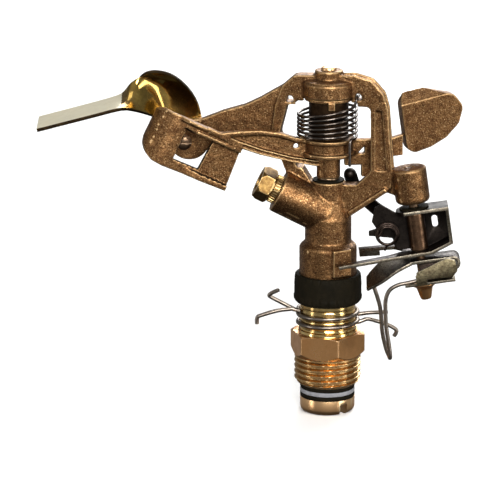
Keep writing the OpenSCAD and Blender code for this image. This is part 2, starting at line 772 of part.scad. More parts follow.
module deflector_screw() {
    color("dimgray")
        translate([screw_at[0], 0, screw_at[2]])
            rotate([-90, 0, 0])
                difference() {
                    rotate_extrude($fn = 48)
                        polygon([[0, 3.5], [1.6, 3.55], [2.4, 4.0], [2.5, lobe_face_y - 0.02],
                            [1.5, lobe_face_y - 0.02], [1.5, 12.0], [0, 12.0]]);
                    translate([-3, -0.3, 3])
                        cube([6, 0.6, 1.1]);
                }
}

module deflector_nut() {
    color("dimgray")
        translate([screw_at[0], 9.8, screw_at[2]])
            rotate([-90, 0, 0])
                difference() {
                    cylinder(h = 1.9, r = 2.9, $fn = 6);
                    translate([0, 0, -1])
                        cylinder(h = 4, r = 1.51, $fn = 48);
                }
}

/* ---------- trip ---------- */

module trip_pin() {
    color("peru")
        trip_frame()
            rotate_extrude($fn = 48)
                polygon([[0, -27.5], [trip_pin_r, -27.5], [trip_pin_r, trip_boss_h - 0.4],
                    [trip_pin_r - 0.4, trip_boss_h], [0, trip_boss_h]]);
}

// Tapered cap riveted on the lower end of the trip pin
module trip_pin_cap() {
    color("peru")
        trip_frame()
            difference() {
                rotate_extrude($fn = 48)
                    polygon([[0, -30.2], [1.5, -30.2], [1.8, -29.6], [2.6, -26.4], [4.2, -25.2], [4.2, -24.5],
                        [0, -24.5]]);
                translate([0, 0, -27.5])
                    cylinder(h = 4, r = trip_pin_r + 0.01, $fn = 48);
            }
}

module trip_washer() {
    color("black") trip_frame() ring(-0.55, -0.05, 4.6, trip_pin_r + 0.06);
}

// Folded steel bracket around the trip pin, with the long blade in front of the barrel and a
// shorter prong behind it
module trip_bracket() {
    s = trip_sheet;
    hole_r = trip_pin_r + 0.06;
    back_y = 3.6;
    top_z = -0.65;
    low_z = -15.2;
    flange_r = 5.8;
    fold_a = 3.6;
    fold_rise = 2.8;
    prong_drop = 1.6;
    color("dimgray")
        trip_frame()
            difference() {
                union() {
                    // Top flange
                    translate([0, 0, top_z - s])
                        linear_extrude(s)
                            polygon(concat(
                                [for (a = [127 : 13.25 : 233]) flange_r * [cos(a), sin(a)]],
                                [[10.6, -4.2], [10.6, back_y + s], [0, back_y + s]]));
                    // Back web
                    translate([0, back_y + s, 0])
                        rotate([90, 0, 0])
                            linear_extrude(s)
                                polygon([[1.8, top_z - 0.2], [1.8, low_z + 0.2], [fold_a, low_z + 0.2],
                                    [10.4, low_z + fold_rise + 0.2], [10.4, top_z - 0.2]]);
                    // Right return
                    translate([9.6, -4.2, low_z + fold_rise])
                        cube([s, back_y + s + 4.2, top_z - low_z - fold_rise - 0.5]);
                    // Lower flange with the blade and the prong, its right end folded up
                    intersection() {
                        translate([0, 0, low_z - 1])
                            linear_extrude(8)
                                polygon([[10.6, -4.2], [10.6, back_y + s], [2, back_y + s], [-5, 10.6], [-19.0, 13.15],
                                    [-19.0, 10.8], [-8, 8.0], [-5.4, 4.6], [-5.4, 1.0], [-10, -1.6],
                                    [-25.9, -5.0], [-25.6, -7.6], [-10, -5.4], [-2, -4.6], [3, -4.2]]);
                        translate([0, 20, 0])
                            rotate([90, 0, 0])
                                linear_extrude(40)
                                    polygon([[-30, low_z], [fold_a, low_z], [11, low_z + fold_rise],
                                        [11, low_z + fold_rise + s], [fold_a - 0.2, low_z + s],
                                        [-30, low_z + s]]);
                    }
                    // Down-turned front edge of the prong
                    translate([0, 0, low_z - prong_drop])
                        linear_extrude(prong_drop + 0.4)
                            polygon([[-19.0, 10.8], [-12.5, 9.15], [-12.5, 10.1], [-19.0, 11.75]]);
                }
                translate([0, 0, low_z - 2])
                    cylinder(h = 18, r = hole_r, $fn = 48);
                // Slotted window in the back web
                translate([5.9, 10, -6.6])
                    rotate([90, 0, 0])
                        linear_extrude(20)
                            polygon(round_outline([[-0.05, -1.1], [0.05, -1.1], [0.05, 1.1], [-0.05, 1.1]], 0.85));
            }
}

// Lever rolled around the pin, whose broad arm swings its round tip into the way of the striker lug
module trip_lever() {
    eye_r = 2.8;
    eye_z = [-13.9, -1.9];
    face_y = 1.2;
    arm_route = [[17.0, -1.9, 46.1], [14.4, 0.9, 47.3], [11.2, 4.4, 49.6], [8.2, 5.2, 53.4], [6.9, 4.7, 57.0]];
    color("dimgray") {
        trip_frame() {
            ring(eye_z[0], eye_z[1], eye_r, trip_pin_r + 0.06);
            // Upright plate, with a small nose that the toggle spring hooks on
            translate([0, face_y + trip_sheet, 0])
                rotate([90, 0, 0])
                    linear_extrude(trip_sheet)
                        polygon([[-1.9, -13.8], [-1.9, -3.6], [-6.4, -1.3], [-10.1, 1.6], [-12.2, 0.8], [-13.7, -3.6],
                            [-12.5, -6.0], [-15.0, -6.4], [-15.2, -8.0], [-12.5, -8.6], [-7.9, -9.7], [-7.7, -12.3],
                            [-6.9, -13.8]]);
        }
        wire(along(arm_route, 16), 2.3, [0.2, 0, 1], 12, 0.5);
        translate(arm_route[4])
            sphere(r = 2.0, $fn = 32);
    }
}

// Ring spring of two turns that snaps the lever and the trigger across each other
module toggle_spring() {
    r = [3.6, 2.75];
    pitch = 0.95;
    turns = 2.6;
    wire_r = 0.42;
    steps = 62;
    loops = [for (i = [0 : steps])
        let (a = -100 + 360 * turns * i / steps, r_here = lerp(r[0], r[1], i / steps))
        [r_here * cos(a), r_here * sin(a), pitch * turns * i / steps]];
    tail = loops[len(loops) - 1];
    color("silver")
        trip_frame()
            translate([-9.4, 0, -7.7])
                rotate([90, 0, 0])
                    wire(
                        concat(
                            [[-1.5, -5.3, 0], [-1.1, -4.6, 0]],
                            loops,
                            [[tail[0] - 0.6, tail[1] - 1.5, tail[2]], [tail[0] - 1.8, tail[1] - 2.6, tail[2]]]),
                        wire_r, [0, 0, 1]);
}

// Plate that carries the trigger wire under the bracket, with its right end curled under and its
// left end twisted down to the wire
module trigger_plate() {
    s = trip_sheet;
    top_z = -16.6;
    curl_x = 9.9;
    curl_r = 2.2;
    outer = [for (a = [90 : -10 : -90]) [curl_x + curl_r * cos(a), top_z - curl_r + curl_r * sin(a)]];
    inner = [for (a = [-90 : 10 : 90])
        [curl_x + (curl_r - s) * cos(a), top_z - curl_r + (curl_r - s) * sin(a)]];
    mid_z = top_z - s / 2;
    tongue = [
        [[-2.6, -4.5, mid_z], [-8, -5.6, -18.9], [-13, -6.4, -21.4], [-18.0, -5.6, -23.5]],
        [[-2.6, 3.5, mid_z], [-8, 3.4, -17.3], [-13, 2.6, -17.6], [-17.6, -0.6, -20.6]],
        0];
    color("slategray")
        trip_frame()
            difference() {
                union() {
                    translate([0, 3.6, 0])
                        rotate([90, 0, 0])
                            linear_extrude(8.2)
                                polygon(concat([[-3.5, top_z - s], [-3.5, top_z]], outer, inner));
                    bent_sheet(tongue, s - 0.1, 8, 4);
                }
                translate([0, 0, -20])
                    cylinder(h = 10, r = trip_pin_r + 0.06, $fn = 48);
            }
}

// Bright folded clip that clamps the trigger wire to its plate
module trigger_clip() {
    t = 0.9;
    front_y = -6.4;
    low_z = -24.2;
    color("silver")
        trip_frame()
            difference() {
                union() {
                    // Front face
                    translate([0, front_y + t, 0])
                        rotate([90, 0, 0])
                            linear_extrude(t)
                                polygon(round_outline([[-1.3, -21.4], [8.6, -21.9], [10.0, -20.6], [9.8, -18.0],
                                    [8.0, -17.3], [-1.3, -20.4]], 0.8));
                    // Left hem down to the floor
                    translate([-2.4, front_y, low_z])
                        cube([3.4, t, 3.4]);
                    // Floor under the plate
                    translate([-2.4, front_y + 0.1, low_z])
                        cube([12.2, 8.6, 0.8]);
                    translate([-6.0, front_y + 0.1, low_z])
                        cube([4, 1.1, 0.8]);
                    // Inner wall behind the wire
                    translate([-0.9, -3.2, low_z + 0.5])
                        cube([10, 0.8, 5.6]);
                    // Fold over the plate's edge
                    translate([5.4, front_y + 0.1, -18.5])
                        cube([4, 2.4, 0.8]);
                }
                translate([0, 0, -26])
                    cylinder(h = 10, r = trip_pin_r + 0.06, $fn = 48);
            }
}

// Hairpin wire that hangs down to the stop collars
module trigger_wire() {
    color("gray")
        wire(
            along([[13.9, -7.2, 24.7], [16.2, -7.2, 17.2], [17.0, -7.2, 9.1], [18.2, -7.2, 3.6], [19.1, -7.4, 1.3],
                [19.4, -8.1, 0.65], [19.5, -8.9, 1.5], [19.1, -9.0, 5.2], [18.2, -9.0, 10.8], [17.9, -9.0, 16.4],
                [18.0, -9.0, 20.1], [19.2, -8.9, 23.0], [21.8, -8.8, 24.6], [24.8, -8.8, 25.3],
                [28.5, -8.8, 26.2]], 60),
            trigger_wire_d / 2, [0, 1, 0]);
}

bearing_nipple();
stop_collar_upper();
stop_collar_lower();
bearing_tube();
seal_washer_upper();
friction_washer();
seal_washer_lower();
thrust_washer();
bearing_spring();
dust_cover();
sprinkler_body();
range_nozzle();
fulcrum_pin();
fulcrum_washer();
spring_seat();
drive_arm();
arm_bushing_lower();
arm_bushing_upper();
arm_spring();
deflector();
deflector_screw();
deflector_nut();
trip_pin();
trip_pin_cap();
trip_washer();
trip_bracket();
trip_lever();
toggle_spring();
trigger_plate();
trigger_clip();
trigger_wire();
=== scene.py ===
"""Looks of the part-circle impact sprinkler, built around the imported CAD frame."""
import json
import math

import bmesh
import bpy
import numpy as np
from mathutils import Matrix, Vector


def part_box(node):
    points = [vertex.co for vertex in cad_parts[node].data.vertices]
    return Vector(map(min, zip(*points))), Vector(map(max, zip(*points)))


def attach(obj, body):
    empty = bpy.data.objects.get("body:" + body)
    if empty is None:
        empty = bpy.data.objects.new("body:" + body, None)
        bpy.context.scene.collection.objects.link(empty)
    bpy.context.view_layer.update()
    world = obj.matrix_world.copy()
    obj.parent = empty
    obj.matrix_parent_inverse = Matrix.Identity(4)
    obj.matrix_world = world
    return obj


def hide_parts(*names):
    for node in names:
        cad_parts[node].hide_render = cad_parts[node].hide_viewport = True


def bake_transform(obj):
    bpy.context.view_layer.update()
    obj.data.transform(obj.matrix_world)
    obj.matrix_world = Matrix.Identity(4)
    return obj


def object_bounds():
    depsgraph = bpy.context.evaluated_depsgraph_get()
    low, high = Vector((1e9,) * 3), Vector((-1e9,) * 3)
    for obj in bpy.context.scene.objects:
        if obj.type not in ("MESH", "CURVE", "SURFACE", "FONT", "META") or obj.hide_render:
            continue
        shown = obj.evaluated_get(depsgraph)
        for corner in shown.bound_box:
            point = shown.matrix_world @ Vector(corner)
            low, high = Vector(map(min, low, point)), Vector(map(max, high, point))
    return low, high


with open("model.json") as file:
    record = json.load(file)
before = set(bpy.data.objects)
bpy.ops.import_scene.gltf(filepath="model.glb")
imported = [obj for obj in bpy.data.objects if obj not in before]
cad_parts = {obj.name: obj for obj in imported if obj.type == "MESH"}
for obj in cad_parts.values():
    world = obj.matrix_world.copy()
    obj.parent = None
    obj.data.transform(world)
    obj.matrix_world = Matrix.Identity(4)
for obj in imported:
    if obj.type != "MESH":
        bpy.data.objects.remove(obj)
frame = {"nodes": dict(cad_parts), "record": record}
cad_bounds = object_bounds()
MM = 0.001
NODES = frame["nodes"]
BODY_OF = {n: b for b, ns in frame["record"]["behaviour"]["bodies"].items() for n in ns}


# ---------------------------------------------------------------- camera, light and floor

CAMERA_ELEVATION = 15
CAMERA_DISTANCE = 1.3
CAMERA_TARGET = (-0.0245, 0, 0.0336)
VIEW_WIDTH = 0.157

# Each light's offset from the object's middle, its size in metres and its power in watts
LIGHTS = {
    "key": ((0.14, -0.96, 0.50), (0.65, 0.60), 17),
    "fill": ((0.9, -0.5, 0.15), (0.25, 0.9), 4),
    "left_strip": ((-0.9, -0.35, 0.1), (0.14, 0.9), 2.2),
    "top": ((0.1, 0.25, 1.0), (0.9, 0.5), 2.5),
    "back": ((0.3, 0.9, 0.5), (0.8, 0.5), 8),
}

FLOOR_HALF_WIDTH = 12
FLOOR_GAP = 0.2 * MM
FLOOR_COLOUR = (0.93, 0.93, 0.92, 1)

# The sky's colour straight down and straight up, and its greys between, by height from 0 to 1
SKY_BELOW = (0.05, 0.045, 0.04, 1)
SKY_ABOVE = (0.60, 0.60, 0.60, 1)
SKY_GREYS = {0.28: 0.12, 0.38: 0.44, 0.50: 0.48, 0.60: 0.18, 0.74: 0.20, 0.86: 0.42}
SKY_STRENGTH = 0.75


def look_at(obj, target):
    """Turns a camera or light towards a point."""
    obj.rotation_euler = (Vector(target) - obj.location).to_track_quat("-Z", "Y").to_euler()


def make_camera():
    """Long lens at the height of the photograph's view."""
    elevation = math.radians(CAMERA_ELEVATION)
    target = Vector(CAMERA_TARGET)
    data = bpy.data.cameras.new("camera")
    cam = bpy.data.objects.new("camera", data)
    bpy.context.scene.collection.objects.link(cam)
    data.sensor_width = 36
    data.lens = data.sensor_width * CAMERA_DISTANCE / VIEW_WIDTH
    data.clip_start = 0.01
    cam.location = target + CAMERA_DISTANCE * Vector((0, -math.cos(elevation), math.sin(elevation)))
    look_at(cam, target)
    bpy.context.scene.camera = cam


def area_light(name, place, target, size, power):
    """White rectangular light that faces a point, with its size in metres and its power in watts."""
    data = bpy.data.lights.new(name, "AREA")
    data.shape = "RECTANGLE"
    data.size, data.size_y = size
    data.energy = power
    light = bpy.data.objects.new(name, data)
    bpy.context.scene.collection.objects.link(light)
    light.location = place
    look_at(light, target)


def make_floor(height):
    """Plain pale floor that shiny parts don't mirror."""
    bm = bmesh.new()
    bmesh.ops.create_grid(bm, x_segments=1, y_segments=1, size=FLOOR_HALF_WIDTH)
    mesh = bpy.data.meshes.new("floor")
    bm.to_mesh(mesh)
    bm.free()
    floor = bpy.data.objects.new("floor", mesh)
    bpy.context.scene.collection.objects.link(floor)
    floor.location = (0, 0, height)
    floor.visible_glossy = False
    mat = bpy.data.materials.new("pale_floor")
    mat.use_nodes = True
    bsdf = mat.node_tree.nodes["Principled BSDF"]
    bsdf.inputs["Base Color"].default_value = FLOOR_COLOUR
    bsdf.inputs["Roughness"].default_value = 0.8
    mesh.materials.append(mat)


def make_sky():
    """Soft grey sky whose bands of height are what the metal mirrors."""
    world = bpy.data.worlds.new("soft_sky")
    bpy.context.scene.world = world
    world.use_nodes = True
    tree = world.node_tree
    background = tree.nodes["Background"]
    place = tree.nodes.new("ShaderNodeTexCoord")
    split = tree.nodes.new("ShaderNodeSeparateXYZ")
    ramp = tree.nodes.new("ShaderNodeValToRGB")
    height = tree.nodes.new("ShaderNodeMapRange")
    height.inputs["From Min"].default_value = -1
    tree.links.new(place.outputs["Generated"], split.inputs[0])
    tree.links.new(split.outputs["Z"], height.inputs["Value"])
    tree.links.new(height.outputs[0], ramp.inputs[0])
    tree.links.new(ramp.outputs[0], background.inputs["Color"])
    stops = ramp.color_ramp.elements
    stops[0].position, stops[0].color = 0.0, SKY_BELOW
    stops[1].position, stops[1].color = 1.0, SKY_ABOVE
    for position, grey in SKY_GREYS.items():
        stops.new(position).color = (grey, grey, grey, 1)
    background.inputs["Strength"].default_value = SKY_STRENGTH


def make_stage():
    """Floor under the inlet, sky and studio lights."""
    low, high = cad_bounds
    middle = (low + high) / 2
    make_floor(low.z - FLOOR_GAP)
    make_sky()
    for name, (offset, size, power) in LIGHTS.items():
        area_light(name, middle + Vector(offset), middle, size, power)
    bpy.context.scene.view_settings.view_transform = "Standard"


# ---------------------------------------------------------------- materials

# Parts of the noise that become blotches, dark pits and bright glints; the glints are painted highlight
BLOTCH_BAND = (0.34, 0.66)
PIT_BAND = (0.36, 0.52)
GLINT_BAND = (0.60, 0.72)
# Parts of the curvature that are hollows and ridges, and how much they are covered: hollows darken as dirt
# and painted shade, ridges lighten as wear and painted highlight
HOLLOW_BAND = (0.42, 0.495)
HOLLOW_COVER = 0.85
RIDGE_BAND = (0.51, 0.57)
RIDGE_COVER = 0.9
# Turned marks run round the axis, so the noise is long across it
TURNED_STRETCH = (0.05, 0.05, 1)
TURNED_MARK_MM = 0.22


def texture_place(tree):
    """Object coordinates, in metres."""
    return tree.nodes.new("ShaderNodeTexCoord").outputs["Object"]


def noise(tree, place, size_mm, detail=3.0, roughness=0.5):
    """Noise whose spots are about size_mm across."""
    node = tree.nodes.new("ShaderNodeTexNoise")
    node.inputs["Scale"].default_value = 1 / (size_mm * MM)
    node.inputs["Detail"].default_value = detail
    node.inputs["Roughness"].default_value = roughness
    tree.links.new(place, node.inputs["Vector"])
    return node.outputs["Fac"]


def stretched(tree, place, factors, angle_y=0.0):
    """Object coordinates squeezed along some axes, for turned and brushed marks."""
    node = tree.nodes.new("ShaderNodeMapping")
    node.inputs["Scale"].default_value = factors
    node.inputs["Rotation"].default_value = (0, angle_y, 0)
    tree.links.new(place, node.inputs["Vector"])
    return node.outputs[0]


def ranged(tree, value, source, target):
    """Value carried from one range to another, and held at its ends."""
    node = tree.nodes.new("ShaderNodeMapRange")
    node.inputs["From Min"].default_value, node.inputs["From Max"].default_value = source
    node.inputs["To Min"].default_value, node.inputs["To Max"].default_value = target
    tree.links.new(value, node.inputs["Value"])
    return node.outputs[0]


def mixed(tree, factor, a, b):
    """Mix of two colours, each a tuple or a socket."""
    node = tree.nodes.new("ShaderNodeMix")
    node.data_type = "RGBA"
    tree.links.new(factor, node.inputs["Factor"])
    for socket, colour in ((node.inputs[6], a), (node.inputs[7], b)):
        if isinstance(colour, tuple):
            socket.default_value = (*colour, 1)
        else:
            tree.links.new(colour, socket)
    return node.outputs[2]


def bumped(tree, height, distance_mm, strength, normal=None):
    """Normal of a relief, on top of another normal where one is given."""
    node = tree.nodes.new("ShaderNodeBump")
    node.inputs["Strength"].default_value = strength
    node.inputs["Distance"].default_value = distance_mm * MM
    tree.links.new(height, node.inputs["Height"])
    if normal is not None:
        tree.links.new(normal, node.inputs["Normal"])
    return node.outputs[0]


def surface(name, light, dark, rough, patch_mm=4.0, grain_mm=0.45, grain_bump=0.05, wave_bump=0.0,
            pits=0.0, wear_and_highlight=None, dirt_and_shade=None, lines=None, lines_tilt=0.0, metallic=1.0, specular=0.5):
    """Finish with blotches and grain in its colour, gloss and relief.

    rough is the gloss of the light and the dark blotches; the ridge colour is wear and painted highlight,
    and is also the colour of the painted glints; the hollow colour is dirt and painted shade; lines is the
    depth in mm of its turned marks."""
    mat = bpy.data.materials.new(name)
    mat.use_nodes = True
    tree = mat.node_tree
    bsdf = tree.nodes["Principled BSDF"]
    place = texture_place(tree)
    patch = noise(tree, place, patch_mm, 5, 0.6)
    grain = noise(tree, place, grain_mm, 3, 0.55)
    blotch = ranged(tree, patch, BLOTCH_BAND, (0, 1))
    colour = mixed(tree, blotch, light, dark)
    if pits:
        speck = ranged(tree, grain, PIT_BAND, (pits, 0))
        colour = mixed(tree, speck, colour, tuple(0.35 * c for c in dark))
        # Painted highlight: glints of the ridge colour, or the light colour, put into the base colour
        glint = ranged(tree, grain, GLINT_BAND, (0, pits))
        colour = mixed(tree, glint, colour, wear_and_highlight or light)
    gloss = ranged(tree, blotch, (0, 1), rough)
    if wear_and_highlight or dirt_and_shade:
        # Painted shade in the hollows and painted highlight on the ridges, read from curvature, on top of
        # dirt and wear
        curve = tree.nodes.new("ShaderNodeNewGeometry").outputs["Pointiness"]
        if dirt_and_shade:
            hollow = ranged(tree, curve, HOLLOW_BAND, (HOLLOW_COVER, 0))
            colour = mixed(tree, hollow, colour, dirt_and_shade)
        if wear_and_highlight:
            ridge = ranged(tree, curve, RIDGE_BAND, (0, RIDGE_COVER))
            colour = mixed(tree, ridge, colour, wear_and_highlight)
    tree.links.new(colour, bsdf.inputs["Base Color"])
    tree.links.new(gloss, bsdf.inputs["Roughness"])
    bsdf.inputs["Metallic"].default_value = metallic
    bsdf.inputs["Specular IOR Level"].default_value = specular
    normal = bumped(tree, grain, grain_bump, 0.6)
    if wave_bump:
        normal = bumped(tree, patch, wave_bump, 0.6, normal)
    if lines:
        marks = noise(tree, stretched(tree, place, TURNED_STRETCH, lines_tilt), TURNED_MARK_MM, 2, 0.7)
        normal = bumped(tree, marks, lines, 0.5, normal)
    tree.links.new(normal, bsdf.inputs["Normal"])
    return mat


# In these finishes the ridge colours are wear and painted highlight, and the hollow colours are dirt and
# painted shade
CAST = surface("cast_bronze_skin", (0.29, 0.150, 0.060), (0.110, 0.050, 0.020), (0.36, 0.52), patch_mm=2.6,
               grain_mm=0.36, grain_bump=0.12, wave_bump=0.38, pits=0.85, wear_and_highlight=(0.78, 0.52, 0.25),
               dirt_and_shade=(0.045, 0.022, 0.010))
TURNED = surface("turned_red_brass", (0.86, 0.46, 0.19), (0.66, 0.33, 0.125), (0.26, 0.36), patch_mm=5,
                 grain_mm=0.3, grain_bump=0.014, wave_bump=0.02, pits=0.10, wear_and_highlight=(0.90, 0.68, 0.40),
                 dirt_and_shade=(0.14, 0.065, 0.025), lines=0.016)
THREAD = surface("cut_thread_brass", (0.86, 0.56, 0.24), (0.52, 0.30, 0.11), (0.24, 0.42), patch_mm=1.6,
                 grain_mm=0.3, grain_bump=0.03, pits=0.45, wear_and_highlight=(0.88, 0.68, 0.38), dirt_and_shade=(0.10, 0.05, 0.02))
BARREL = surface("polished_barrel", (0.84, 0.62, 0.26), (0.52, 0.32, 0.11), (0.10, 0.24), patch_mm=3,
                 grain_mm=0.4, grain_bump=0.008, pits=0.10, wear_and_highlight=(0.95, 0.76, 0.42), lines=0.014)
BRASS = surface("polished_sheet_brass", (0.60, 0.41, 0.11), (0.30, 0.17, 0.045), (0.09, 0.20), patch_mm=8,
                grain_mm=0.8, grain_bump=0.008, wave_bump=0.14, pits=0.15, wear_and_highlight=(0.92, 0.74, 0.36))
# Painted reflection: pale brass that stands for the sky mirrored in the deflector tongue's top face
TONGUE = surface("painted_reflection_brass", (0.90, 0.84, 0.64), (0.78, 0.71, 0.52), (0.30, 0.42), patch_mm=6,
                 grain_mm=0.5, grain_bump=0.012, wave_bump=0.05, pits=0.06, metallic=0.55)
BRASS_EDGE = surface("sheared_brass_edge", (0.045, 0.028, 0.012), (0.018, 0.011, 0.006), (0.45, 0.65),
                     patch_mm=1.5, grain_mm=0.2, grain_bump=0.04, pits=0.3)
NOZZLE = surface("machined_nozzle_brass", (0.27, 0.165, 0.055), (0.12, 0.062, 0.020), (0.30, 0.46),
                 patch_mm=1.6, grain_mm=0.3, grain_bump=0.014, pits=0.25, wear_and_highlight=(0.62, 0.44, 0.20),
                 dirt_and_shade=(0.12, 0.06, 0.02), lines=0.012, lines_tilt=math.radians(64))
RUBBER = surface("black_rubber_skin", (0.005, 0.004, 0.002), (0.008, 0.006, 0.003), (0.55, 0.72),
                 patch_mm=2.5, grain_mm=0.25, grain_bump=0.03, wave_bump=0.04, metallic=0.0, specular=0.04)
PLASTIC = surface("pale_washer_skin", (0.22, 0.22, 0.23), (0.14, 0.14, 0.15), (0.35, 0.5), patch_mm=2,
                  grain_mm=0.3, grain_bump=0.02, metallic=0.0)
WIRE = surface("spring_wire", (0.125, 0.092, 0.068), (0.050, 0.034, 0.025), (0.24, 0.42), patch_mm=1.6,
               grain_mm=0.3, grain_bump=0.03, pits=0.5, wear_and_highlight=(0.42, 0.36, 0.30))
SPRING = surface("dark_spring_wire", (0.16, 0.135, 0.115), (0.060, 0.046, 0.038), (0.16, 0.28), patch_mm=2,
                 grain_mm=0.3, grain_bump=0.02, pits=0.2)
# Oiled dark steel of the bracket, trigger curl and toggle ring, and painted shade on the trigger clip's
# inner wall
OILED_STEEL_AND_SHADE = surface("oiled_dark_steel_and_painted_shade", (0.070, 0.050, 0.040), (0.022, 0.015, 0.012), (0.26, 0.44),
                patch_mm=2.4, grain_mm=0.5, grain_bump=0.04, wave_bump=0.08, pits=0.5)
# Blackened steel of the trip lever's plate, and painted shade on the trip bracket's top flange and back web
BLACK_STEEL_AND_SHADE = surface("blackened_steel_and_painted_shade", (0.030, 0.024, 0.020), (0.010, 0.008, 0.007), (0.36, 0.52),
                      patch_mm=2.4, grain_mm=0.4, grain_bump=0.03, wave_bump=0.06, pits=0.3)
BRUSHED_STEEL = surface("brushed_grey_steel", (0.17, 0.143, 0.105), (0.055, 0.042, 0.030), (0.26, 0.42),
                        patch_mm=1.6, grain_mm=0.35, grain_bump=0.06, wave_bump=0.10, pits=0.6,
                        wear_and_highlight=(0.46, 0.40, 0.30), dirt_and_shade=(0.02, 0.014, 0.010), lines=0.03,
                        lines_tilt=math.radians(75))
# Painted shade: dark bronze put where shade falls, inside the spring seat and cup, on the vane window's
# walls and above its lip
SHADED = surface("painted_shade_bronze", (0.050, 0.028, 0.014), (0.020, 0.011, 0.006), (0.45, 0.65),
                 patch_mm=2.0, grain_mm=0.4, grain_bump=0.06, wave_bump=0.10, pits=0.3)
CUT_STEEL = surface("bright_cut_edge", (0.46, 0.41, 0.31), (0.13, 0.10, 0.07), (0.24, 0.42), patch_mm=0.8,
                    grain_mm=0.2, grain_bump=0.08, pits=0.7)
SLEEVE = surface("bronzed_steel", (0.20, 0.115, 0.065), (0.07, 0.038, 0.022), (0.28, 0.42), patch_mm=2.2,
                 grain_mm=0.4, grain_bump=0.03, wave_bump=0.05, pits=0.3, wear_and_highlight=(0.42, 0.29, 0.18))
ZINC = surface("yellowed_zinc", (0.34, 0.285, 0.165), (0.080, 0.060, 0.034), (0.28, 0.44), patch_mm=1.8,
               grain_mm=0.35, grain_bump=0.06, wave_bump=0.20, pits=0.5)


# ---------------------------------------------------------------- shapes

def add_mesh(name, points_mm, faces):
    """New object from points in mm."""
    mesh = bpy.data.meshes.new(name)
    mesh.from_pydata([tuple(MM * c for c in p) for p in points_mm], [], faces)
    mesh.validate()
    obj = bpy.data.objects.new(name, mesh)
    bpy.context.scene.collection.objects.link(obj)
    return obj


def stand_for(obj, node, *materials, angle=32):
    """Shades a piece, dresses it, and puts it in the place of a CAD node."""
    mesh = obj.data
    if materials:
        mesh.materials.clear()
        for mat in materials:
            mesh.materials.append(mat)
    mesh.polygons.foreach_set("use_smooth", [True] * len(mesh.polygons))
    mesh.set_sharp_from_angle(angle=math.radians(angle))
    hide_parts(node)
    return obj


def evaluated(obj):
    """Applies an object's modifiers to its mesh."""
    graph = bpy.context.evaluated_depsgraph_get()
    mesh = bpy.data.meshes.new_from_object(obj.evaluated_get(graph))
    old = obj.data
    obj.modifiers.clear()
    obj.data = mesh
    bpy.data.meshes.remove(old)


def bevelled(obj, width_mm, angle, material_index):
    """Bevels every edge sharper than an angle, in one of the object's materials, or in the
    material beside it for -1."""
    bevel = obj.modifiers.new("bevel", "BEVEL")
    bevel.width = width_mm * MM
    bevel.segments = 2
    bevel.limit_method = "ANGLE"
    bevel.angle_limit = math.radians(angle)
    bevel.material = material_index
    evaluated(obj)


def painted(obj, material, where, place=None):
    """Gives another material to the faces whose centre and normal, in mm in a place, pass a test."""
    obj.data.materials.append(material)
    index = len(obj.data.materials) - 1
    to_place = (place or Matrix.Identity(4)).inverted()
    turn = to_place.to_3x3()
    for poly in obj.data.polygons:
        if where(to_place @ (poly.center / MM), turn @ poly.normal):
            poly.material_index = index
    return obj


def cad_copy(node, name):
    """Welded copy of a CAD node's mesh, with its flat faces joined up."""
    bm = bmesh.new()
    bm.from_mesh(NODES[node].data)
    bmesh.ops.remove_doubles(bm, verts=bm.verts, dist=0.002 * MM)
    mesh = bpy.data.meshes.new(name)
    bm.to_mesh(mesh)
    bm.free()
    obj = bpy.data.objects.new(name, mesh)
    bpy.context.scene.collection.objects.link(obj)
    return obj


def cast(node, name, material, voxel_mm=0.28, rounds=5):
    """Casting: the node's mesh with every edge and corner softened."""
    obj = cad_copy(node, name)
    remesh = obj.modifiers.new("skin", "REMESH")
    remesh.mode = "VOXEL"
    remesh.voxel_size = voxel_mm * MM
    smooth = obj.modifiers.new("smooth", "SMOOTH")
    smooth.factor = 0.5
    smooth.iterations = rounds
    evaluated(obj)
    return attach(stand_for(obj, node, material, angle=70), BODY_OF[node])


def refined(node, name, material, bevel_mm=0.12, edge_material=None, edge_mm=1.2):
    """Machined or stamped part: the node's mesh with small bevels, and its narrow cut faces in
    their own material."""
    obj = cad_copy(node, name)
    bm = bmesh.new()
    bm.from_mesh(obj.data)
    bmesh.ops.dissolve_limit(bm, angle_limit=math.radians(0.6), verts=bm.verts, edges=bm.edges)
    if edge_material:
        for face in bm.faces:
            longest = max(edge.calc_length() for edge in face.edges)
            if face.calc_area() / longest < edge_mm * MM:
                face.material_index = 1
    bm.to_mesh(obj.data)
    bm.free()
    obj.data.materials.append(material)
    if edge_material:
        obj.data.materials.append(edge_material)
    bevelled(obj, bevel_mm, 35, 1 if edge_material else -1)
    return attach(stand_for(obj, node), BODY_OF[node])


def through(points, u):
    """Point on a smooth curve through the points, at u from 0 to 1."""
    p = [Vector(q) for q in points]
    s = min(u, 0.9999) * (len(p) - 1)
    i = int(s)
    t = s - i
    a, b, c, d = p[max(i - 1, 0)], p[i], p[i + 1], p[min(i + 2, len(p) - 1)]
    square = 2 * a - 5 * b + 4 * c - d
    cube = 3 * b - a - 3 * c + d
    return 0.5 * (2 * b + (c - a) * t + square * t ** 2 + cube * t ** 3)


def along(points, steps):
    """Points at even steps on the smooth curve through the points."""
    return [through(points, i / steps) for i in range(steps + 1)]


def helix(low, high, radius, turns, start, per_turn=48):
    """Points of a helix about the Z axis, from the angle start in degrees."""
    steps = math.ceil(turns * per_turn)
    made = []
    for i in range(steps + 1):
        a = math.radians(start + 360 * turns * i / steps)
        made.append(Vector((radius * math.cos(a), radius * math.sin(a), low + (high - low) * i / steps)))
    return made


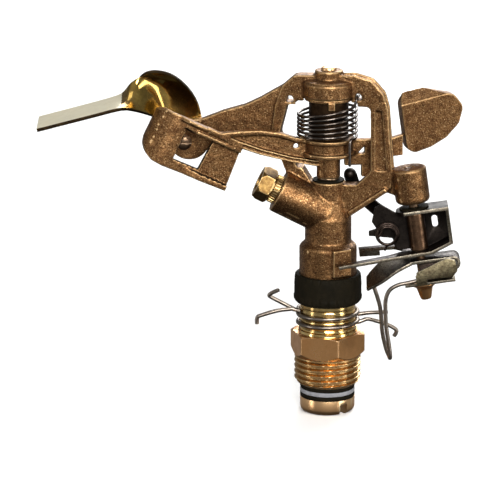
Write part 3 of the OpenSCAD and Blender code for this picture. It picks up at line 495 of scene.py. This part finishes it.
def sweep(name, path, radius, node, material, side=(0, 1, 0.3), around=14, place=None):
    """Round wire along a path in mm, with rounded ends."""
    place = place or Matrix.Identity(4)
    path = [Vector(p) for p in path]
    last = len(path) - 1
    tangents = [(path[min(i + 1, last)] - path[max(i - 1, 0)]).normalized() for i in range(last + 1)]
    rings = []
    n = Vector(side)
    for i, (p, t) in enumerate(zip(path, tangents)):
        n = (n - n.dot(t) * t).normalized()
        rings.append((p, t, n.copy(), 1.0))
    # How far out each ring of a rounded end lies, and its share of the radius
    cap = [(0.45, 0.90), (0.80, 0.60), (1.0, 0.25)]
    p, t, n, _ = rings[0]
    start = [(p + (1 - out) * radius * 0.6 * t, t, n, size) for out, size in reversed(cap)]
    p, t, n, _ = rings[-1]
    end = [(p - (1 - out) * radius * 0.6 * t, t, n, size) for out, size in cap]
    rings = start + rings[1:-1] + end
    points, faces = [], []
    for p, t, n, size in rings:
        b = t.cross(n)
        for k in range(around):
            a = 2 * math.pi * k / around
            points.append(place @ (p + size * radius * (math.cos(a) * n + math.sin(a) * b)))
    for i in range(len(rings) - 1):
        for k in range(around):
            m = (k + 1) % around
            faces.append((i * around + k, i * around + m, (i + 1) * around + m, (i + 1) * around + k))
    faces.append(tuple(range(around - 1, -1, -1)))
    faces.append(tuple((len(rings) - 1) * around + k for k in range(around)))
    return stand_for(add_mesh(name, points, faces), node, material, angle=50)


def field(name, rows, node, material, place=None, columns=360):
    """Closed piece about the Z axis from rows of (z, radius), where a radius is a number or an array
    with one value to a column."""
    place = np.array(place or Matrix.Identity(4))
    angles = np.radians(np.arange(columns) * 360 / columns)
    points = []
    for z, radius in rows:
        r = np.broadcast_to(radius, (columns,))
        points.append(np.stack([r * np.cos(angles), r * np.sin(angles), np.full(columns, z)], 1))
    points = np.concatenate(points) @ place[:3, :3].T + place[:3, 3]
    faces = []
    for i in range(len(rows)):
        a, b = i * columns, (i + 1) % len(rows) * columns
        for k in range(columns):
            m = (k + 1) % columns
            faces.append((a + k, a + m, b + m, b + k))
    return stand_for(add_mesh(name, points.tolist(), faces), node, material)


def hexagon(across_flats, turn, columns=360):
    """Radius of a hexagon at each column, with one corner at the angle turn."""
    a = np.radians((np.arange(columns) * 360 / columns - turn) % 60 - 30)
    return across_flats / 2 / np.cos(a)


# ---------------------------------------------------------------- inlet

THREAD_CREST = 20.955 / 2
THREAD_PITCH = 1.814
THREAD_DEPTH = 0.6403 * THREAD_PITCH
THREAD_ROOT = THREAD_CREST - THREAD_DEPTH
THREAD_LEN = 9.6
HEX_AF = 21.0
HEX_H = 7.5
BARREL_R = 8.7
BARREL_TOP = 19.0
BARREL_GROOVES = (9.3, 12.05, 15.4)
BORE_R = 7.0


def thread_row(z, columns=360):
    """Outer radius of the right-hand thread at one height."""
    turn = np.arange(columns) / columns + 0.25
    phase = (z + 1.6) / THREAD_PITCH - turn
    ridge = np.clip(0.5 + 0.68 * np.cos(2 * math.pi * phase), 0, 1)
    r = THREAD_ROOT + (THREAD_CREST - THREAD_ROOT) * ridge
    runout = np.clip((z + 1.0) / 0.45, 0, 1)
    r = r + (THREAD_CREST - r) * runout
    return np.minimum(r, THREAD_ROOT - 0.5 + (z + THREAD_LEN) * 1.1)


def inlet_fitting():
    """Nipple with its thread cut as one helix, a turned-down hexagon and a grooved barrel."""
    hex_r = HEX_AF / 2 / math.cos(math.radians(30))
    flats = hexagon(HEX_AF, -15)
    rows = [(z, thread_row(z)) for z in np.arange(-THREAD_LEN, -0.01, 0.07)]
    rows.append((0.0, THREAD_CREST - 0.35))
    for z in list(np.arange(0.02, 1.9, 0.12)) + [3.0, 5.0, 6.6] + list(np.arange(6.8, HEX_H + 0.01, 0.07)):
        low = HEX_AF / 2 - 0.1 + (hex_r + 0.15 - HEX_AF / 2) * z / 1.8
        high = hex_r + 0.05 - (hex_r - HEX_AF / 2 - 0.35) * (z - 6.9) / 0.6
        rows.append((float(z), np.minimum(flats - 0.02, min(low, high, hex_r - 0.12))))
    rows += [(HEX_H, BARREL_R + 0.62), (HEX_H + 0.35, BARREL_R + 0.5), (HEX_H + 0.8, BARREL_R + 0.5),
             (HEX_H + 1.0, BARREL_R - 0.1)]
    for z in np.arange(HEX_H + 1.1, BARREL_TOP - 0.5, 0.08):
        groove = max(math.exp(-((z - c) / 0.26) ** 2) for c in BARREL_GROOVES)
        rows.append((float(z), BARREL_R - 0.22 * groove - 0.012 * (1 + math.sin(z * 21))))
    rows += [(BARREL_TOP - 0.4, BARREL_R), (BARREL_TOP, BARREL_R - 0.4), (BARREL_TOP, BORE_R + 0.15),
             (BARREL_TOP - 0.15, BORE_R), (-THREAD_LEN + 0.15, BORE_R), (-THREAD_LEN, BORE_R + 0.15)]
    obj = field("inlet_fitting", rows, "bearing_nipple", TURNED)
    obj.data.materials.append(BARREL)
    obj.data.materials.append(THREAD)
    for poly in obj.data.polygons:
        if poly.center.z < 0:
            poly.material_index = 2
        elif poly.center.z > (HEX_H + 0.02) * MM:
            poly.material_index = 1
    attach(obj, "inlet")


inlet_fitting()
washer_spring = sweep("washer_spring", helix(20.32, 23.48, 7.9, 2.5, 0), 0.5, "bearing_spring", WIRE)
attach(washer_spring, "inlet")


# ---------------------------------------------------------------- stop collars

def stop_collar(name, node, z, middle, low_ear, high_ear, body):
    """Wire collar round the barrel with its two ears."""
    radius = 0.65
    ring_r = BARREL_R + 0.05 + radius
    cross = 14
    path = along(list(reversed(low_ear)), 40)
    path += helix(z - 0.6, z + 0.75, ring_r, 1 + cross / 180, middle - cross, 90)
    path += along(high_ear, 40)
    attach(sweep(name, path, radius, node, WIRE), body)


stop_collar("stop_wire_upper", "stop_collar_upper", 13.7, 180,
            [(-11.4, 2.9, 14.0), (-14.5, 3.2, 15.6), (-17.6, 3.4, 17.2), (-18.4, 3.3, 17.9),
             (-17.7, 3.1, 18.7), (-15.2, 2.6, 20.0)],
            [(-11.4, -2.7, 15.2), (-16, -2.9, 14.6), (-20.8, -3.0, 13.2), (-22.2, -3.0, 12.4),
             (-22.3, -3.0, 10.2)], "stop_upper")
stop_collar("stop_wire_lower", "stop_collar_lower", 10.4, 18,
            [(11.0, 1.0, 10.3), (12.9, 1.4, 10.7), (16.3, 1.6, 9.7), (19.4, 1.8, 8.5), (21.5, 1.8, 7.2),
             (21.7, 1.8, 6.1), (20.9, 1.8, 4.8)],
            [(10.0, 5.0, 11.3), (13.5, 5.2, 11.7), (19.2, 4.8, 12.0)], "stop_lower")


# ---------------------------------------------------------------- head

def round_ring(name, node, material, bulge=0.12):
    """Washer with rounded, slightly swollen rims."""
    low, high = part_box(node)
    r_out = high.x / MM
    r_in = min((Vector(v.co[:2]).length for v in NODES[node].data.vertices)) / MM
    z0, z1 = low.z / MM, high.z / MM
    h = (z1 - z0) / 2
    soft = min(h, (r_out - r_in) / 2) * 0.45
    rows = [(z0, r_in + soft), (z0, r_out - soft), (z0 + soft * 0.3, r_out - soft * 0.3),
            (z0 + soft, r_out - bulge * 0.3), (z0 + h, r_out), (z1 - soft, r_out - bulge * 0.3),
            (z1 - soft * 0.3, r_out - soft * 0.3), (z1, r_out - soft), (z1, r_in + soft),
            (z1 - soft, r_in), (z0 + soft, r_in)]
    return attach(field(name, rows, node, material, columns=120), BODY_OF[node])


cast("sprinkler_body", "body_casting", CAST)
refined("bearing_tube", "tube_foot", TURNED, 0.25)
round_ring("rubber_washer_upper", "seal_washer_upper", RUBBER)
round_ring("friction_disc", "friction_washer", PLASTIC)
round_ring("rubber_washer_lower", "seal_washer_lower", RUBBER)
round_ring("thrust_disc", "thrust_washer", PLASTIC)


def dust_boot():
    """Rubber cover with a moulded bead at each rim and shallow finger notches."""
    columns = 360
    turn = np.arange(columns) * 2 * math.pi / columns
    notch = np.clip(np.cos(turn * 24) * 3 - 1.9, 0, 1)
    rows = [(17.0, 9.10), (17.0, 9.5), (17.25, 9.9 - 0.1 * notch), (17.8, 10.45 - 0.22 * notch),
            (18.3, 10.72 - 0.3 * notch), (19.2, 10.78 - 0.3 * notch), (19.6, 10.6 - 0.1 * notch),
            (20.0, 10.58), (22.4, 10.58), (22.9, 10.62), (24.4, 10.5), (25.0, 10.5),
            (25.3, 10.42 - 0.2 * notch), (25.9, 10.38 - 0.2 * notch), (26.25, 10.2 - 0.2 * notch),
            (26.4, 9.9), (26.4, 9.2), (26.2, 9.09)]
    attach(field("dust_boot", rows, "dust_cover", RUBBER), "head")


dust_boot()


JET_TURN = -154
BRANCH_Z = 45.3
NOZZLE_SEAT = 17.36
NOZZLE_CORNER_R = 5.55


def jet_nozzle():
    """Nozzle with a ribbed collar, a chamfered hexagon and a dished mouth."""
    place = (Matrix.Translation((0, 0, BRANCH_Z)) @ Matrix.Rotation(math.radians(JET_TURN), 4, "Y")
             @ Matrix.Translation((NOZZLE_SEAT, 0, 0)) @ Matrix.Rotation(math.radians(90), 4, "Y"))
    columns = 360
    turn = np.arange(columns) * 2 * math.pi / columns
    rib = 0.16 * np.clip(np.cos(turn * 30) * 2, -1, 1)
    flats = hexagon(NOZZLE_CORNER_R * 2 * math.cos(math.radians(30)), 12)
    rows = [(-6.4, 3.35), (-6.4, 4.2), (0.04, 4.2), (0.05, 4.3), (0.3, 4.45 + rib), (1.9, 4.45 + rib),
            (2.2, 4.3), (2.4, 4.3), (2.42, np.minimum(flats, 4.95)), (2.8, np.minimum(flats, 5.4)),
            (3.1, flats - 0.02)]
    for z in np.arange(5.6, 6.95, 0.15):
        rows.append((float(z), np.minimum(flats - 0.02, 5.5 - (z - 5.6) * 0.42)))
    rows += [(7.0, 4.5), (7.0, 3.35), (6.9, 3.2), (6.05, 3.15), (6.0, 3.0), (6.0, 2.15), (5.9, 2.0),
             (0.5, 2.0)]
    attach(field("jet_nozzle", rows, "range_nozzle", NOZZLE, place), "head")


jet_nozzle()

# Inside the arm spring the castings get painted shade: out to this radius, and under the retainer's rim
SHADE_R = 6.7
RETAINER_RIM = 82.1
refined("fulcrum_pin", "pivot_pin", TURNED, 0.15)
refined("fulcrum_washer", "pivot_washer", RUBBER, 0.15)
retainer = cast("spring_seat", "spring_retainer", CAST, 0.2, 3)
# Painted shade inside the retainer, under its rim
painted(retainer, SHADED, lambda c, n: c.z < RETAINER_RIM and Vector(c[:2]).length < SHADE_R - 0.1)
refined("deflector_screw", "blade_screw", SLEEVE, 0.1)
refined("deflector_nut", "blade_nut", TURNED, 0.15)
refined("trip_pin", "trip_spindle", SLEEVE, 0.12)
cast("trip_pin_cap", "spindle_cap", TURNED, 0.15, 3)
refined("trip_washer", "spindle_washer", RUBBER, 0.12)


# ---------------------------------------------------------------- arm

ARM_YAW = 9
ARM_CUP = (70.2, 76.4)
VANE_CORNER = (-32.9, 0, 54)
VANE = (Matrix.Rotation(math.radians(ARM_YAW), 4, "Z") @ Matrix.Translation(VANE_CORNER)
        @ Matrix.Rotation(math.radians(JET_TURN), 4, "Y") @ Matrix.Rotation(math.radians(-90), 4, "X"))


def in_window_reveal(c, n):
    """Walls of the vane's window, which get painted shade."""
    return 9.5 < c.x < 20 and 2.2 < c.y < 13.4 and -0.6 < c.z < 3.0 and abs(n.z) < 0.94


def above_lip(c, n):
    """Hollow above the vane's lip, which gets painted shade."""
    return 0.5 < c.x < 17 and 1.6 < c.y < 2.7 and c.z < 0.3 and n.y > 0.3


arm = cast("drive_arm", "arm_casting", CAST, 0.25, 4)
# Painted shade inside the spring cup, on the vane window's walls and above its lip
painted(arm, SHADED, lambda c, n: ARM_CUP[0] < c.z < ARM_CUP[1] and Vector(c[:2]).length < SHADE_R)
painted(arm, SHADED, lambda c, n: in_window_reveal(c, n) or above_lip(c, n), VANE)
refined("arm_bushing_lower", "hub_bushing_lower", SLEEVE, 0.08)
refined("arm_bushing_upper", "hub_bushing_upper", SLEEVE, 0.08)

SPRING_WIRE_R = 0.45
SPRING_R = 9.15
SPRING_X = -0.4
SPRING_LOW = 70.45
SPRING_TURNS = 6
SPRING_PITCH = (79.29 - SPRING_LOW) / SPRING_TURNS
SPRING_LEAN = 0.225
SPRING_LEG = -41
LEG_FOOT = 62
LEG_LENGTH = 8.25
# The wire's way from the top coil, up and through the bridge's small window
SPRING_HOOK = [(7.7, -5.5, 81.1), (8.2, -5.4, 82.2), (8.45, -5.2, 83.05), (8.6, -4.5, 83.4),
               (8.76, -3.58, 83.4), (9.45, 0.5, 83.4)]


def spring_point(angle, z):
    return Vector((SPRING_X + SPRING_R * math.cos(angle), SPRING_R * math.sin(angle), z))


def arm_spring_path():
    """Straight leg beside the hub, coils that lean more the higher they are, and the hook."""
    leg = math.radians(SPRING_LEG)
    leg_steps = 16
    coil_steps = 60
    path = [spring_point(leg, LEG_FOOT + LEG_LENGTH * i / leg_steps) for i in range(leg_steps)]
    for i in range(coil_steps * SPRING_TURNS + 1):
        turn = i / coil_steps
        a = math.radians(SPRING_LEG + 4 + 360 * turn)
        lean = SPRING_LEAN * turn * math.cos(a)
        path.append(spring_point(a, SPRING_LOW + SPRING_PITCH * turn + lean))
    return path + along([path[-1]] + SPRING_HOOK, 36)[1:]


arm_spring = sweep("return_spring", arm_spring_path(), SPRING_WIRE_R, "arm_spring", SPRING, side=(1, 0, 0))
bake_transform(arm_spring)


# ---------------------------------------------------------------- deflector

# The blade's two long edges, from the screw, over the hood and out to the tongue's end
HOOD_NEAR = [(-50.6, 8.9, 63.5), (-51.4, 9.0, 68.5), (-52.4, 8.0, 72.2), (-54, 5.5, 75), (-57, 1.5, 77.2),
             (-60.6, -2.0, 79.0), (-63.4, -5.4, 80.2), (-66.4, -7.2, 80.2), (-73.5, -7.6, 78.4),
             (-82, -7.7, 76.2), (-90.5, -7.8, 74.0)]
HOOD_FAR = [(-39.4, 8.9, 63.5), (-39.7, 9.1, 74.5), (-42.6, 9.2, 82), (-48.5, 8.9, 87.6),
            (-55.5, 6.8, 89.4), (-60.8, 6.2, 86.2), (-64.0, 6.8, 82.4), (-67.6, 7.8, 80.6),
            (-74.3, 8.2, 78.6), (-82.3, 8.4, 76.4), (-90.5, 8.4, 74.2)]
TONGUE_X = -64.5
# Where along the blade its hood starts and how long it is, as shares, and how far it bows out
HOOD_START = 0.1
HOOD_SHARE = 0.46
HOOD_BOW = (-1.6, 2.6, 1.2)


def sheet_mid(near, far, bowed, u, v):
    """Middle of a sheet between two edges, bowed out over its hood where bowed is 1."""
    over_hood = min(1, max(0, (u - HOOD_START) / HOOD_SHARE))
    bow = 4 * v * (1 - v) * max(0, math.sin(math.pi * over_hood))
    return through(near, u).lerp(through(far, u), v) + bowed * bow * Vector(HOOD_BOW)


def bent_sheet(name, near, far, bowed, thickness, steps, across, place, material, edge_material):
    """Sheet between two long edges, with its cut edges in their own material."""
    e = 0.004
    layers = [[], []]
    for i in range(steps + 1):
        for j in range(across + 1):
            u, v = i / steps, j / across
            ahead = sheet_mid(near, far, bowed, min(1, u + e), v)
            behind = sheet_mid(near, far, bowed, max(0, u - e), v)
            right = sheet_mid(near, far, bowed, u, min(1, v + e))
            left = sheet_mid(near, far, bowed, u, max(0, v - e))
            n = (ahead - behind).cross(right - left).normalized()
            middle = sheet_mid(near, far, bowed, u, v)
            for side, layer in zip((-0.5, 0.5), layers):
                layer.append(place @ (middle + side * thickness * n))
    n = across + 1
    size = len(layers[0])
    faces = []
    for i in range(steps):
        for j in range(across):
            a = i * n + j
            faces.append((a, a + n, a + n + 1, a + 1))
            faces.append((size + a, size + a + 1, size + a + n + 1, size + a + n))
    skin = len(faces)
    for i in range(steps):
        for a, b in ((i * n, (i + 1) * n), ((i + 1) * n + across, i * n + across)):
            faces.append((a, size + a, size + b, b))
    for j in range(across):
        for a, b in ((j + 1, j), (steps * n + j, steps * n + j + 1)):
            faces.append((a, size + a, size + b, b))
    obj = add_mesh(name, layers[0] + layers[1], faces)
    for poly in obj.data.polygons:
        poly.material_index = int(poly.index >= skin)
    obj.data.materials.append(material)
    obj.data.materials.append(edge_material)
    bevelled(obj, 0.1, 50, 1)
    return obj


blade = bent_sheet("deflector_blade_sheet", HOOD_NEAR, HOOD_FAR, 1, 1.1, 170, 24,
                   Matrix.Identity(4), BRASS, BRASS_EDGE)
# Painted reflection: the blade's faces past TONGUE_X get the pale brass
blade.data.materials.append(TONGUE)
for poly in blade.data.polygons:
    if poly.material_index == 0 and poly.center.x < TONGUE_X * MM:
        poly.material_index = 2
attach(stand_for(blade, "deflector"), "deflector_blade")


# ---------------------------------------------------------------- trip

TRIP_PIN = (26.6, -4.6, 49)
TRIP_LEAN = -8
TRIP = Matrix.Translation(TRIP_PIN) @ Matrix.Rotation(math.radians(TRIP_LEAN), 4, "Y")
LEVER_EYE_R = 3.0


def on_top_flange(c, n):
    """Upper face of the bracket's top flange, and the flange's end towards the body, which get painted
    shade.
    """
    return c.z > -2.5 and (c.x < -1.5 or n.z > 0.6)


def on_back_web(c, n):
    """Web behind the trip pin, which gets painted shade."""
    return c.y > 2.0 and c.x > 1.5 and -14.5 < c.z < -2.0


def in_clip(c, n):
    """Inner wall of the trigger clip, which gets painted shade."""
    return -3.3 < c.y < -2.3 and c.z > -23.5


bracket = refined("trip_bracket", "bracket_sheet", OILED_STEEL_AND_SHADE, 0.14, CUT_STEEL, 1.8)
# Painted shade on the bracket's top flange and its back web
painted(bracket, BLACK_STEEL_AND_SHADE, lambda c, n: on_top_flange(c, n) or on_back_web(c, n), TRIP)

lever = cast("trip_lever", "trip_lever_stamping", SLEEVE, 0.2, 3)
painted(lever, BLACK_STEEL_AND_SHADE, lambda c, n: Vector(c[:2]).length > LEVER_EYE_R, TRIP)

clip = refined("trigger_clip", "wire_clip", ZINC, 0.2, CUT_STEEL, 1.0)
# Painted shade on the clip's inner wall, in the dark steel
painted(clip, OILED_STEEL_AND_SHADE, in_clip, TRIP)


def extruded(name, outline, front, back, place, materials):
    """Sheet profile in the XZ plane of a place, drawn out along its Y axis."""
    count = len(outline)
    points = [place @ Vector((x, y, z)) for y in (front, back) for x, z in outline]
    faces = [tuple(range(count)), tuple(range(2 * count - 1, count - 1, -1))]
    faces += [(i, i + count, (i + 1) % count + count, (i + 1) % count) for i in range(count)]
    obj = add_mesh(name, points, faces)
    bm = bmesh.new()
    bm.from_mesh(obj.data)
    bmesh.ops.recalc_face_normals(bm, faces=bm.faces)
    for face in bm.faces:
        face.material_index = int(len(face.verts) > 4)
    bm.to_mesh(obj.data)
    bm.free()
    for mat in materials:
        obj.data.materials.append(mat)
    bevelled(obj, 0.1, 50, 1)
    return obj


PLATE_TOP = -16.6
CURL_X = 9.9
CURL_R = 2.2
SHEET = 1.0
arc = [math.radians(90 - 6 * i) for i in range(31)]
profile = [(-3.5, PLATE_TOP - SHEET), (-3.5, PLATE_TOP)]
profile += [(CURL_X + CURL_R * math.cos(a), PLATE_TOP - CURL_R + CURL_R * math.sin(a)) for a in arc]
profile += [(CURL_X + (CURL_R - SHEET) * math.cos(a), PLATE_TOP - CURL_R + (CURL_R - SHEET) * math.sin(a))
            for a in reversed(arc)]
curl = extruded("trigger_sheet_curl", profile, -4.6, 3.6, TRIP, (OILED_STEEL_AND_SHADE, CUT_STEEL))
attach(stand_for(curl, "trigger_plate"), "trigger")
plate_mid = PLATE_TOP - SHEET / 2
TONGUE_NEAR = [(-2.6, -4.5, plate_mid), (-8, -5.6, -18.9), (-13, -6.4, -21.4), (-18.0, -5.6, -23.5)]
TONGUE_FAR = [(-2.6, 3.5, plate_mid), (-8, 3.4, -17.3), (-13, 2.6, -17.6), (-17.6, -0.6, -20.6)]
tongue = bent_sheet("trigger_sheet_tongue", TONGUE_NEAR, TONGUE_FAR, 0, 0.9, 48, 14, TRIP, BRUSHED_STEEL,
                    CUT_STEEL)
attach(stand_for(tongue, "trigger_plate"), "trigger")

RING_R = 3.6
RING_TAPER = 0.85
RING_PITCH = 0.95
RING_STEPS = 156
RING_PLACE = (TRIP @ Matrix.Translation((-9.4, 0, -7.7)) @ Matrix.Rotation(math.radians(90), 4, "X"))


def toggle_ring_path():
    """Two and a half narrowing coils with a short straight end on either side."""
    loops = []
    for i in range(RING_STEPS + 1):
        a = math.radians(-100 + 6 * i)
        r_here = RING_R - RING_TAPER * i / RING_STEPS
        loops.append(Vector((r_here * math.cos(a), r_here * math.sin(a), RING_PITCH * i / 60)))
    tail = loops[-1]
    return ([Vector((-1.5, -5.3, 0)), Vector((-1.1, -4.6, 0))] + loops
            + [tail + Vector((-0.6, -1.5, 0)), tail + Vector((-1.8, -2.6, 0))])


toggle = sweep("toggle_ring", toggle_ring_path(), 0.42, "toggle_spring", OILED_STEEL_AND_SHADE, side=(0, 0, 1),
               place=RING_PLACE)
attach(toggle, "trip")

HAIRPIN = [(13.9, -7.2, 24.7), (16.2, -7.2, 17.2), (17.0, -7.2, 9.1), (18.2, -7.2, 3.6), (19.1, -7.4, 1.3),
           (19.4, -8.1, 0.65), (19.5, -8.9, 1.5), (19.1, -9.0, 5.2), (18.2, -9.0, 10.8),
           (17.9, -9.0, 16.4), (18.0, -9.0, 20.1), (19.2, -8.9, 23.0), (21.8, -8.8, 24.6),
           (24.8, -8.8, 25.3), (28.5, -8.8, 26.2)]
hairpin = sweep("hairpin_wire", along(HAIRPIN, 220), 0.65, "trigger_wire", WIRE, side=(0, 1, 0))
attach(hairpin, "trigger")


make_camera()
make_stage()
